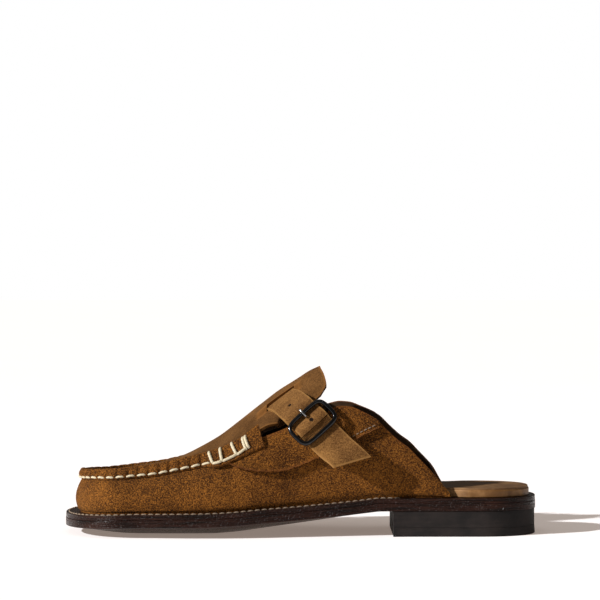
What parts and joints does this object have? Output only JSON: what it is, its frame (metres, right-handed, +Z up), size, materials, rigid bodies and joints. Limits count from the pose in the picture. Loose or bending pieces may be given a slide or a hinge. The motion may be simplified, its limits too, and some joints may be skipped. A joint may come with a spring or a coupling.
{
  "type": "moccasin",
  "caption": "Backless moccasin in suede with a hand-sewn toe ridge, a buckled strap over the instep, a welted leather sole and a low heel; left foot.",
  "frame": {"origin": "middle of the shoe in plan, on the floor", "axes": "+X from toe to heel, +Z up, +Y towards the inner side of the foot, so the outer side with the buckle faces -Y"},
  "size_m": [0.2703, 0.0969, 0.0953],
  "materials": {
    "suede": "napped brown suede",
    "suede_smooth": "shorter-napped brown suede",
    "dark_leather": "smooth dark brown lining leather",
    "sole_leather": "waxed dark brown sole leather",
    "tan_leather": "smooth tan leather",
    "heel_rubber": "matte near-black rubber",
    "cork": "cork compound",
    "board": "fibre board",
    "foam": "footbed foam",
    "cream_thread": "thick waxed cream thread",
    "tonal_thread": "thin waxed thread",
    "gunmetal": "dark gunmetal plating",
    "bright_metal": "bright metal",
    "steel": "spring steel"
  },
  "bodies": {
    "shoe": {"apron": "suede_smooth", "apron_lining": "dark_leather", "bottom_filler": "cork", "buckle_chape": "suede", "footbed_foam": "foam", "footbed_rim": "tan_leather", "heel_nail_1": "steel", "heel_nail_2": "steel", "heel_nail_3": "steel", "heel_nail_4": "steel", "heel_nail_5": "steel", "heel_stack": "heel_rubber", "heel_top_piece": "heel_rubber", "insole_board": "board", "moc_thread": "cream_thread", "outsole": "sole_leather", "quarter_inner": "suede", "quarter_outer": "suede", "quarter_thread_inner": "tonal_thread", "quarter_thread_outer": "tonal_thread", "shank": "steel", "sock_liner": "dark_leather", "strap": "suede_smooth", "tie_off_inner": "cream_thread", "tie_off_outer": "cream_thread", "vamp_lining": "dark_leather", "vamp_wrap": "suede", "welt": "sole_leather", "welt_stitching": "tonal_thread"},
    "strap_tip": {"strap_end": "suede_smooth"},
    "buckle": {"buckle_frame": "gunmetal"},
    "prong": {"buckle_prong": "bright_metal"}
  },
  "joints": [
    {"name": "strap_end_lift", "type": "hinge", "parent": "shoe", "child": "strap_tip", "pos_m": [0.01461, -0.04133, 0.05585], "axis": [-0.7293, -0.2123, -0.6505], "range_deg": [-5, 70], "stiffness_Nm_per_rad": 0.002},
    {"name": "buckle_tilt", "type": "hinge", "parent": "shoe", "child": "buckle", "pos_m": [0.00656, -0.03785, 0.06374], "axis": [-0.7293, -0.2123, -0.6505], "range_deg": [-3, 3]},
    {"name": "prong_swing", "type": "hinge", "parent": "buckle", "child": "prong", "pos_m": [0.00656, -0.03785, 0.06374], "axis": [0.7293, 0.2123, 0.6505], "range_deg": [0, 7]}
  ]
}
